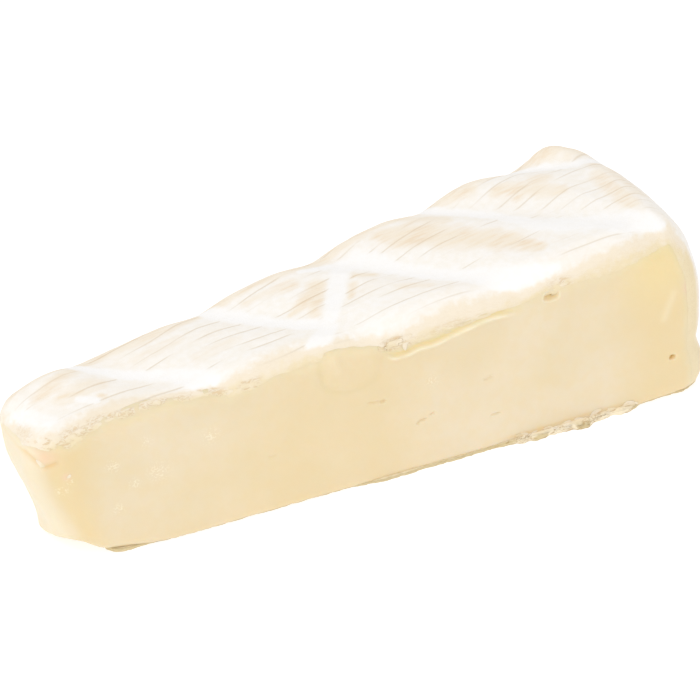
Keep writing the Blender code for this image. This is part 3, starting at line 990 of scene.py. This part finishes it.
def relieve_rind(piece):
    """Moves the rind's points by its lines, wrinkles and folds, and paints its masks."""
    points, outward = read(piece.data, "co"), read(piece.data, "vector")
    x, y, z = points.T
    tilt_x, tilt_y, tilt_z = outward.T
    inside = inside_rind(points)
    from_rim = over_rim(points) + edge_room(x, y)
    away, strong = pillow_lines(points)
    away /= np.clip(tilt_z, 0.4, 1.0)
    strong *= between(tilt_z, 0.70, 0.93)
    powder = band_powder(x, y) * between(tilt_z, 0.3, 0.75)
    crumpled = crumpled_edge(points, from_rim) * (1.0 - 0.65 * between(tilt_x, -0.30, -0.70))
    wrinkle = layered_noise(points * WRINKLE_STRETCH, 3.0 * MM, 71)
    uneven = WRINKLE_RISE * wrinkle + FUZZ_RISE * noise(points, 0.9 * MM, 74)
    move = RIND_LIFT - RIND_DIVE * between(inside, -0.2 * MM, -2.6 * MM)
    move += uneven * between(inside, 0.4 * MM, 2.5 * MM)
    move -= LINE_DEPTH * strong * hump(away, LINE_WIDTH)
    move += CRUMPLE_RISE * crumpled * layered_noise(points, 1.8 * MM, 76)
    move -= LIP_FOLLOW * between(-tilt_y, 0.45, 0.85) * lip_shape(x, z)[1]
    move_points(piece.data, points + outward * move[:, None])
    skirt = rind_skirt(points, outward, powder, from_rim)
    paint(piece.data, "rind_marks", worn_mould(points, outward), crumpled, skirt, powder)
    paint(piece.data, "line_marks", away / MM, np.abs(away) / MM, strong)


relieve_rind(upper_rind)
print("rind relieved")

# %% Give the rind its thickness
RIND_THICKNESS = 1.1 * MM

shell = upper_rind.modifiers.new("rind thickness", "SOLIDIFY")
shell.thickness = RIND_THICKNESS
shell.offset = -1.0
print("the rind is", RIND_THICKNESS / MM, "mm thick")

# %% [markdown]
# The lower rind is thinner, pressed flat by the wheel's own weight. The knife pulled it out from
# under the paste here and there, so its edge is a ragged strip of small flakes, with a gap of
# shadow above it. It is a flat sawn block of its own that follows the wedge's outline.

# %% Cut the lower rind
LOW_CUTS = (330, 40, 5)
LOW_CROWDING = (0.10, 0.15, 0.0)
LOW_TIP_RUN = 15.0 * MM


def lower_rind_points(block_places):
    """Lays a flat block under the paste, inside the wedge's own outline."""
    flat = block_places.copy()
    high = (flat[:, 2] + 1.0) / 2.0
    flat[:, 2] = -1.0 + 0.02 * high
    places = wedge_points(flat, LOW_CROWDING) - CENTRE
    tip = places[:, 0].min()
    places[:, 0] += (LOW_RIND_START - tip) * between(places[:, 0], LOW_RIND_START + LOW_TIP_RUN, tip)
    return places, high


block = sawn_block(*LOW_CUTS)
block_places = places_of(block)
low_places, high = lower_rind_points(block_places)
print("lower rind", len(low_places), "points")

# %% Let its edge stand out and droop
LOW_STAND = 1.1 * MM
LOW_THICKNESS = 1.35 * MM
LOW_TUCKED = 0.62 * MM
LOW_EDGE_TAPER = 0.25 * MM
FLAP_THICKER = 0.35 * MM
LOW_FRAY = 0.28 * MM

x, y, _ = low_places.T
at_side = between(np.abs(block_places[:, 1]), 0.90, 1.0)
flaky = at_side * loose_edge(x)
low_places[:, 1] += np.sign(y) * (low_outline(x, y > 0.0) + LOW_STAND) * at_side
droop = flaky * (0.40 * MM * noise(low_places, 2.6 * MM, 83) + 0.30 * MM * noise(low_places, 0.9 * MM, 86))
rise = LOW_THICKNESS + droop - LOW_EDGE_TAPER * at_side - LOW_TUCKED * (1.0 - loose_edge(x))
rise += FLAP_THICKER * at_side * hump(x - TIP_FLAP_PLACE, TIP_FLAP_REACH)
low_places[:, 2] = high * rise
low_places[:, 1] += LOW_FRAY * flaky * noise(low_places, 0.7 * MM, 87)
print("its edge droops by", (droop.min() / MM).round(2), "to", (droop.max() / MM).round(2), "mm")

# %% Make and paint the lower rind
def paint_plain_rind(data, worn, crumpled, skirt):
    """Paints a rind that has neither powder nor lines."""
    paint(data, "rind_marks", worn, crumpled, skirt, 0.0)
    paint(data, "line_marks", 0.0, 1.0, 0.0)


lower_rind = mesh_object("lower_rind", block)
move_points(lower_rind.data, low_places)
pale_flakes = loose_edge(x) * between(noise(low_places, 3.2 * MM, 88), -0.25, 0.20)
# The sides are painted tan and darker: partly the rind's own tan, partly painted shade along the bottom
# edge.
tan_and_side_shade = at_side * (1.0 - 0.55 * pale_flakes)
paint_plain_rind(lower_rind.data, 0.5 + 0.4 * noise(low_places, 4 * MM, 84), flaky, tan_and_side_shade)
print("lower rind made")

# %% [markdown]
# The knife also tore a few scraps off the rind: a curled one where the lip starts, crumbs round the
# hole under the rim, and loose flakes along the base. Each is a small sawn block that is thinned,
# curled and laid on the nearest place of the broad face, and together they are one light piece.

# %% Places on the broad face
def face_places():
    """The points of the paste and the upper rind that look out of the broad face, with normals."""
    found = [(read(piece.data, "co"), read(piece.data, "vector")) for piece in (cheese_paste, upper_rind)]
    points, outward = (np.concatenate(arrays) for arrays in zip(*found))
    chosen = outward[:, 1] < -0.3
    return points[chosen], outward[chosen]


FACE_POINTS, FACE_NORMALS = face_places()


def face_place(across, up):
    """The outermost point of the broad face near a place, and the face's normal there."""
    away = np.hypot(FACE_POINTS[:, 0] - across, FACE_POINTS[:, 2] - up)
    near = np.flatnonzero(away < max(0.6 * MM, 1.01 * away.min()))
    best = near[np.argmin(FACE_POINTS[near, 1])]
    return Vector(FACE_POINTS[best]), Vector(FACE_NORMALS[best])


print(len(FACE_POINTS), "points on the broad face")

# %% Tear off a scrap
SCRAP_CUTS = (14, 7, 1)


def add_scrap(mesh, across, up, half_length, half_width_here, half_thickness, turn, curl):
    """Adds one torn flake of rind to a mesh, curled towards its ends and laid on the face."""
    flake = sawn_block(*SCRAP_CUTS)
    place, outward = face_place(across * MM, up * MM)
    along = Vector((math.cos(turn), 0.0, math.sin(turn)))
    along = (along - outward * along.dot(outward)).normalized()
    beside = outward.cross(along)
    seed = np.array([across * MM, up * MM, 0.0])
    for point in flake.verts:
        u, v, w = point.co
        here = np.array([seed + (u * half_length * MM, v * half_width_here * MM, 0.0)])
        ragged = 1.0 + 0.55 * float(layered_noise(here, 0.9 * MM, 91)[0])
        lift = curl * (u * u + 0.4 * v * v) * half_width_here - 0.04
        point.co = (place + along * (u * half_length * ragged * MM)
                    + beside * (v * half_width_here * ragged * (1.0 - 0.5 * u * u) * MM)
                    + outward * ((w * half_thickness * (1.0 - 0.5 * v * v) + lift) * MM))
    bmesh.ops.recalc_face_normals(flake, faces=flake.faces)
    kept = bpy.data.meshes.new("flake")
    flake.to_mesh(kept)
    flake.free()
    mesh.from_mesh(kept)
    bpy.data.meshes.remove(kept)


print("a scrap is a block of", SCRAP_CUTS, "cuts")

# %% Lay the scraps
SCRAPS = (
    # across, up, half length, half width, half thickness, turn, curl
    (0.1, 32.3, 2.3, 0.70, 0.12, 0.25, 0.45), (2.8, 31.3, 1.2, 0.55, 0.10, 1.2, 0.25),
    (-2.3, 31.9, 1.0, 0.50, 0.10, -0.5, 0.25), (3.9, 32.9, 0.8, 0.40, 0.09, 0.9, 0.15),
    (39.2, 35.4, 1.0, 0.35, 0.09, 0.2, 0.15),
    (-35.1, 31.9, 0.8, 0.40, 0.09, 0.4, 0.15), (-70.5, 22.0, 0.5, 0.35, 0.10, 0.7, 0.10),
)
BASE_FLAKES = 9
BASE_FLAKE_RUN = (28.0, 55.0)
BASE_FLAKE_SLENDER = 0.32

heap = bmesh.new()
for scrap in SCRAPS:
    add_scrap(heap, *scrap)
chance = np.random.default_rng(92)
for across in np.linspace(*BASE_FLAKE_RUN, BASE_FLAKES):
    size, turn = chance.uniform(0.8, 1.7), chance.uniform(-0.25, 0.35)
    across, up = across + chance.uniform(-1.0, 1.0), chance.uniform(0.9, 1.5)
    add_scrap(heap, across, up, size, BASE_FLAKE_SLENDER * size, 0.09, turn, 0.3)
rind_scraps = mesh_object("rind_scraps", heap)
patchy = 0.5 + 0.5 * noise(read(rind_scraps.data, "co"), 3 * MM, 93)
paint_plain_rind(rind_scraps.data, patchy, 0.3 * patchy, 0.45 + 0.55 * patchy)
print("scraps", len(SCRAPS) + BASE_FLAKES, "with", len(patchy), "points")

# %% [markdown]
# Materials next. Mould, paste and worn rind differ mostly in colour and in how fine their surface
# is, so small helpers lay out the nodes. What both rinds share, the felt of the mould, is a node
# group with two sizes, which puts out a mask and a height.

# %% Helpers for materials
def srgb(red, green, blue):
    """A colour that was read on a screen, as the linear colour that a shader wants."""
    levels = np.array([red, green, blue]) / 255.0
    linear = np.where(levels <= 0.04045, levels / 12.92, ((levels + 0.055) / 1.055) ** 2.4)
    return (*[float(v) for v in linear], 1.0)


def new_material(name):
    """An empty material with its output and its Principled shader."""
    material = bpy.data.materials.new(name)
    material.use_nodes = True
    return material, material.node_tree.nodes["Principled BSDF"]


def set_inputs(node, values):
    """Sets the plain values of a node's inputs by their names."""
    for name, value in values.items():
        node.inputs[name].default_value = value


print("a screen's mid grey is", round(srgb(128, 128, 128)[0], 3))

# %% Helpers for nodes
def add(tree, kind, **values):
    """A new node with its plain settings."""
    node = tree.nodes.new(kind)
    for key, value in values.items():
        setattr(node, key, value)
    return node


def mix(tree, share, first, second):
    """Mixes two colours, each a link or a plain colour, by a share."""
    node = add(tree, "ShaderNodeMix", data_type="RGBA")
    for place, value in ((0, share), (6, first), (7, second)):
        if isinstance(value, bpy.types.NodeSocket):
            tree.links.new(value, node.inputs[place])
        else:
            node.inputs[place].default_value = value
    return node.outputs[2]


def reckon(tree, how, first, second, third=0.5):
    """A small sum on numbers or links."""
    node = add(tree, "ShaderNodeMath", operation=how)
    for place, value in enumerate((first, second, third)):
        if isinstance(value, bpy.types.NodeSocket):
            tree.links.new(value, node.inputs[place])
        else:
            node.inputs[place].default_value = value
    return node.outputs[0]


def tint(tree, colour, mask, strength, target):
    """Mixes a colour towards another where a mask is, by a strength."""
    return mix(tree, reckon(tree, "MULTIPLY", mask, strength), colour, target)


print("nodes mix, tint and reckon")

# %% Helpers for patterns and bumps
BUMP_HEIGHT = 0.0002


def grain(tree, place, size, detail):
    """A noise whose bumps are about one size apart."""
    node = add(tree, "ShaderNodeTexNoise")
    node.inputs["Scale"].default_value = 1.0 / size
    node.inputs["Detail"].default_value = detail
    tree.links.new(place, node.inputs["Vector"])
    return node.outputs["Fac"]


def spread_out(tree, value, low, high, to_low=0.0, to_high=1.0):
    """Stretches a range of values over another."""
    node = add(tree, "ShaderNodeMapRange", interpolation_type="SMOOTHSTEP")
    for place, number in ((1, low), (2, high), (3, to_low), (4, to_high)):
        node.inputs[place].default_value = number
    tree.links.new(value, node.inputs[0])
    return node.outputs[0]


def masks(tree, name):
    """The masks painted on a mesh: three numbers and a fourth."""
    read_in = add(tree, "ShaderNodeAttribute", attribute_name=name)
    split = add(tree, "ShaderNodeSeparateColor")
    tree.links.new(read_in.outputs["Color"], split.inputs[0])
    return (*split.outputs, read_in.outputs["Alpha"])


def stretched(tree, place, scale, turn=0.0):
    """A place with its axes squeezed, so that a grain on it is drawn out."""
    node = add(tree, "ShaderNodeMapping")
    set_inputs(node, {"Scale": scale, "Rotation": (0.0, 0.0, turn)})
    tree.links.new(place, node.inputs["Vector"])
    return node.outputs["Vector"]


def bumpy(tree, shader, height, strength):
    """Gives a shader a fine bump."""
    bump = add(tree, "ShaderNodeBump")
    set_inputs(bump, {"Strength": strength, "Distance": BUMP_HEIGHT})
    tree.links.new(height, bump.inputs["Height"])
    tree.links.new(bump.outputs["Normal"], shader.inputs["Normal"])


print("bumps are", BUMP_HEIGHT / MM, "mm high")

# %% The felt of the mould, shared by both rinds
def mould_felt_group():
    """A node group for the felt of mould threads: its tufts as a mask, and its height."""
    group = bpy.data.node_groups.new("mould felt", "ShaderNodeTree")
    for name, start in (("Tuft size", 0.0012), ("Thread size", 0.0003)):
        socket = group.interface.new_socket(name, in_out="INPUT", socket_type="NodeSocketFloat")
        socket.default_value = start
    for name in ("Tufts", "Height"):
        group.interface.new_socket(name, in_out="OUTPUT", socket_type="NodeSocketFloat")
    entry, leave = add(group, "NodeGroupInput"), add(group, "NodeGroupOutput")
    place = add(group, "ShaderNodeTexCoord").outputs["Object"]
    found = []
    for size in entry.outputs[:2]:
        node = add(group, "ShaderNodeTexNoise")
        node.inputs["Detail"].default_value = 4.0
        group.links.new(place, node.inputs["Vector"])
        group.links.new(reckon(group, "DIVIDE", 1.0, size), node.inputs["Scale"])
        found.append(node.outputs["Fac"])
    group.links.new(spread_out(group, found[0], 0.3, 0.7), leave.inputs["Tufts"])
    group.links.new(reckon(group, "MULTIPLY_ADD", found[0], 0.6, found[1]), leave.inputs["Height"])
    return group


mould_felt = mould_felt_group()
print("node group", mould_felt.name)

# %% [markdown]
# Mould is never plain white: it is warmer where it is thin, peach where it has worn off, and white
# where the powder is fresh. A photograph could be laid on, but it would carry its own light. The
# rind's colour is laid in layers instead, in the order in which the real ones lie.

# %% Colours of the rind
MOULD_WHITE = srgb(253, 251, 249)
MOULD_SHADE = srgb(250, 246, 239)
WORN_PEACH = srgb(246, 233, 212)
WORN_DEEP = srgb(241, 222, 196)
LINE_TAN = srgb(230, 220, 204)
LINE_PEACH = srgb(228, 208, 181)
# The third colour of each is the tan of a crumpled edge, darkened as painted shade in its folds.
UPPER_SHADES = (srgb(244, 231, 209), srgb(239, 222, 184), srgb(224, 195, 152))
LOWER_SHADES = (srgb(247, 233, 203), srgb(218, 199, 154), srgb(196, 162, 108))
print("skirt, rim and crease each have a colour, above and below")

# %% Felt, lines and creases
LINE_CORE = 0.34
FIBRE_SQUEEZE = (0.16, 1.0, 0.6)
FIBRE_TURN = -0.14
CREASE_SQUEEZE = (0.45, 0.70, 1.5)


def felt_colour(tree, place, tufts, patchy, worn, powder):
    """White felt, worn to peach in streaks, with fresh powder over it."""
    fibres = grain(tree, stretched(tree, place, FIBRE_SQUEEZE, FIBRE_TURN), 0.0009, 4.0)
    fibres = spread_out(tree, fibres, 0.34, 0.72)
    white = tint(tree, MOULD_SHADE, tufts, 0.8, MOULD_WHITE)
    peach = tint(tree, WORN_PEACH, patchy, fibres, WORN_DEEP)
    colour = tint(tree, white, worn, spread_out(tree, fibres, 0.0, 1.0, 0.78, 1.0), peach)
    return tint(tree, colour, powder, spread_out(tree, tufts, 0.0, 1.0, 0.70, 0.95), MOULD_WHITE)


def line_mask(tree):
    """The fine lines, drawn from how far off the nearest one is, but not where rows change."""
    away, off, strong, _ = masks(tree, "line_marks")
    core = spread_out(tree, reckon(tree, "ABSOLUTE", away, 0.0), LINE_CORE, 0.02)
    core = reckon(tree, "MULTIPLY", core, spread_out(tree, off, 0.95, 0.65))
    return reckon(tree, "MULTIPLY", core, strong)


def crease_mask(tree, place, patchy, skirt, crumpled):
    """Short folds and pits, where the knife pushed the rind's edge together, painted darker as shade."""
    uneven = grain(tree, stretched(tree, place, CREASE_SQUEEZE), 0.0010, 4.0)
    fold = reckon(tree, "ABSOLUTE", reckon(tree, "SUBTRACT", uneven, 0.5), 0.0)
    fold, here = spread_out(tree, fold, 0.040, 0.0), spread_out(tree, patchy, 0.95, 0.45)
    dashes = reckon(tree, "MULTIPLY", fold, here)
    pits = spread_out(tree, uneven, 0.44, 0.35)
    torn = reckon(tree, "MULTIPLY_ADD", skirt, 0.22, spread_out(tree, crumpled, 0.10, 0.7))
    return reckon(tree, "MULTIPLY", reckon(tree, "MAXIMUM", dashes, pits), torn)


print("lines are", LINE_CORE, "mm wide to each side")

# %% The rind's material
TUFT_SIZE = 0.0016
THREAD_SIZE = 0.00035


def rind_material(name, skirt_colour, rim_colour, crease_shade_colour):
    """White felt with worn peach patches, tan lines, and a cream skirt where it meets the paste."""
    material, shader = new_material(name)
    tree = material.node_tree
    place = add(tree, "ShaderNodeTexCoord").outputs["Object"]
    worn, crumpled, skirt, powder = masks(tree, "rind_marks")
    felt = add(tree, "ShaderNodeGroup", node_tree=mould_felt)
    set_inputs(felt, {"Tuft size": TUFT_SIZE, "Thread size": THREAD_SIZE})
    patchy = spread_out(tree, grain(tree, place, 0.0060, 5.0), 0.35, 0.65)
    lines = line_mask(tree)
    creases = crease_mask(tree, place, patchy, skirt, crumpled)
    colour = felt_colour(tree, place, felt.outputs["Tufts"], patchy, worn, powder)
    crumbs = reckon(tree, "MULTIPLY_ADD", grain(tree, place, 0.0015, 4.0), 0.6, -0.30)
    crumbs = reckon(tree, "MULTIPLY", crumbs, spread_out(tree, skirt, 0.0, 0.2))
    ragged = reckon(tree, "ADD", skirt, crumbs)
    colour = mix(tree, spread_out(tree, ragged, 0.0, 0.45, 0.0, 0.95), colour, skirt_colour)
    colour = mix(tree, spread_out(tree, ragged, 0.52, 1.0, 0.0, 0.95), colour, rim_colour)
    tone = mix(tree, reckon(tree, "MAXIMUM", worn, skirt), LINE_TAN, LINE_PEACH)
    colour = tint(tree, colour, lines, 0.85, tone)
    # Painted shade in the folds and pits of the crumpled edge.
    colour = tint(tree, colour, creases, 0.60, crease_shade_colour)
    tree.links.new(colour, shader.inputs["Base Color"])
    set_inputs(shader, {"Roughness": 0.82, "Specular IOR Level": 0.25, "Sheen Weight": 0.05})
    grooves = reckon(tree, "MULTIPLY_ADD", creases, 1.2, reckon(tree, "MULTIPLY", lines, 0.25))
    bumpy(tree, shader, reckon(tree, "SUBTRACT", felt.outputs["Height"], grooves), 0.40)
    return material


white_rind = rind_material("white_rind", *UPPER_SHADES)
upper_rind.data.materials.append(white_rind)
lower_rind.data.materials.append(rind_material("lower_rind", *LOWER_SHADES))
rind_scraps.data.materials.append(white_rind)
print("rind materials made")

# %% [markdown]
# Ripe paste lets light in: it scatters a few millimetres deep and comes back warmer, which keeps
# the shadows of the small dents soft. Subsurface scattering does that. Its colour is a pale cream
# that turns warmer near the base and the heel and under the rind. It is painted darker as shade in
# the holes, folds and crease and along the foot over the loose rind, and lighter as highlights on
# the raised marks and the tip face.

# %% The paste's material
PASTE_CREAM = srgb(232, 217, 187)
PASTE_PALE = srgb(236, 222, 197)
PASTE_WARM = srgb(234, 211, 162)
# Painted shade in the holes, folds and eyes, and along the foot of the broad face.
PASTE_SHADE = srgb(232, 192, 106)
PASTE_RIM = srgb(239, 222, 184)
# Painted highlights on raised marks and the lit tip face, and the real pale of the scuffs.
PASTE_HIGHLIGHT_AND_SCUFF = srgb(251, 241, 216)
PASTE_YELLOW = srgb(243, 222, 164)
PASTE_PINK = srgb(241, 209, 177)
# Painted shade in the crease round the melted bulge.
PASTE_CREASE_SHADE = srgb(224, 205, 156)
SCATTER_DEPTH = 0.002


def paste_material():
    """Moist cream paste, a little translucent."""
    material, shader = new_material("paste")
    tree = material.node_tree
    place = add(tree, "ShaderNodeTexCoord").outputs["Object"]
    warm, hollow, near_rim, light = masks(tree, "paste_marks")
    yellow, pink, crease_shade, scuffs = masks(tree, "paste_tints")
    cloud = spread_out(tree, grain(tree, place, 0.017, 2.0), 0.35, 0.65)
    speck = spread_out(tree, grain(tree, place, 0.0011, 2.0), 0.55, 0.8)
    mottle = spread_out(tree, grain(tree, place, 0.0026, 4.0), 0.38, 0.66)
    rough = spread_out(tree, grain(tree, place, 0.00045, 2.0), 0.50, 0.62)
    scuffed = reckon(tree, "MULTIPLY", reckon(tree, "MULTIPLY", scuffs, 0.80), rough)
    colour = mix(tree, warm, mix(tree, cloud, PASTE_CREAM, PASTE_PALE), PASTE_WARM)
    # hollow is painted shade, light is painted highlight with the scuffs, crease_shade is painted shade.
    layers = (
        (near_rim, 0.7, PASTE_RIM), (speck, 0.12, PASTE_PALE), (mottle, 0.22, PASTE_WARM),
        (yellow, 0.8, PASTE_YELLOW), (pink, 0.8, PASTE_PINK), (crease_shade, 0.50, PASTE_CREASE_SHADE),
        (reckon(tree, "MAXIMUM", light, scuffed), 0.8, PASTE_HIGHLIGHT_AND_SCUFF), (hollow, 0.8, PASTE_SHADE),
    )
    for mask, strength, target in layers:
        colour = tint(tree, colour, mask, strength, target)
    tree.links.new(colour, shader.inputs["Base Color"])
    set_inputs(shader, {"Roughness": 0.42, "Specular IOR Level": 0.35, "Subsurface Weight": 0.30,
                        "Subsurface Scale": SCATTER_DEPTH, "Subsurface Radius": (1.0, 0.7, 0.4)})
    bumpy(tree, shader, grain(tree, place, 0.0009, 3.0), 0.25)
    return material


cheese_paste.data.materials.append(paste_material())
print("paste material made")

# %% [markdown]
# Every piece rides on the wedge's one body. The paste, which fills the frame's solid, stands for it.

# %% Tie the pieces to the frame
PIECES = ((cheese_paste, "paste"), (upper_rind, "rind"), (lower_rind, "rind"), (rind_scraps, "rind"))
for piece, slot_name in PIECES:
    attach(piece, "root")
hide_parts("brie_wedge")
print("pieces", [piece.name for piece, _ in PIECES])

# %% [markdown]
# The wedge lies on a white table in soft light: an even white sky, a large soft lamp from the upper
# left and a weaker one in front. The camera stands where a buyer would, above the tip and to the
# left of the broad face, with a long lens so that the wedge keeps its proportions.

# %% The table
FLOOR_SIZE = 6.0
FLOOR_GLOW = 0.70
WHITE = (1.0, 1.0, 1.0, 1.0)

floor_mesh = bmesh.new()
bmesh.ops.create_grid(floor_mesh, x_segments=1, y_segments=1, size=FLOOR_SIZE / 2.0)
floor = mesh_object("table_top", floor_mesh)
floor_material, floor_shader = new_material("table_white")
set_inputs(floor_shader, {"Base Color": srgb(175, 175, 175), "Roughness": 0.9, "Specular IOR Level": 0.1,
                          "Emission Color": WHITE, "Emission Strength": FLOOR_GLOW})
floor.data.materials.append(floor_material)
print("table", FLOOR_SIZE, "m wide")

# %% The light
SKY_STRENGTH = 0.82
LAMPS = (
    # name, place, width, power
    ("window", (-0.7, -0.40, 1.0), 0.8, 4.0),
    ("bounce", (0.5, -1.3, 0.6), 0.9, 0.6),
)
LAMP_TARGET = (0.0, 0.0, 0.02)

world = bpy.data.worlds.new("soft sky")
bpy.context.scene.world = world
world.use_nodes = True
set_inputs(world.node_tree.nodes["Background"], {"Color": WHITE, "Strength": SKY_STRENGTH})
bpy.context.scene.view_settings.view_transform = "Standard"
for name, place, width, power in LAMPS:
    light = bpy.data.lights.new(name, "AREA")
    light.size = width
    light.energy = power
    lamp = bpy.data.objects.new(name, light)
    lamp.location = place
    lamp.rotation_mode = "QUATERNION"
    lamp.rotation_quaternion = (Vector(LAMP_TARGET) - Vector(place)).to_track_quat("-Z", "Y")
    bpy.context.collection.objects.link(lamp)
print("lit by a sky of", SKY_STRENGTH, "and", len(LAMPS), "lamps")

# %% Camera
CAMERA_TURN = math.radians(-24.9)
CAMERA_RISE = math.radians(31.0)
CAMERA_ROLL = math.radians(-5.0)
CAMERA_DISTANCE = 0.5835
CAMERA_AIM = Vector((0.00319, 0.00867, 0.01644))
SENSOR = 36.0
PICTURE_WIDTH = 700.0
FOCAL_PIXELS = 2700.0
LENS = SENSOR * FOCAL_PIXELS / PICTURE_WIDTH

camera = bpy.data.objects.new("camera", bpy.data.cameras.new("camera"))
bpy.context.collection.objects.link(camera)
back = Vector((math.sin(CAMERA_TURN) * math.cos(CAMERA_RISE),
               -math.cos(CAMERA_TURN) * math.cos(CAMERA_RISE), math.sin(CAMERA_RISE)))
camera.location = CAMERA_AIM + CAMERA_DISTANCE * back
camera.rotation_mode = "QUATERNION"
level = (-back).to_track_quat("-Z", "Y")
camera.rotation_quaternion = level @ Quaternion((0.0, 0.0, 1.0), CAMERA_ROLL)
camera.data.sensor_width = SENSOR
camera.data.lens = LENS
bpy.context.scene.camera = camera
print("lens", round(LENS, 1), "mm at", CAMERA_DISTANCE, "m")
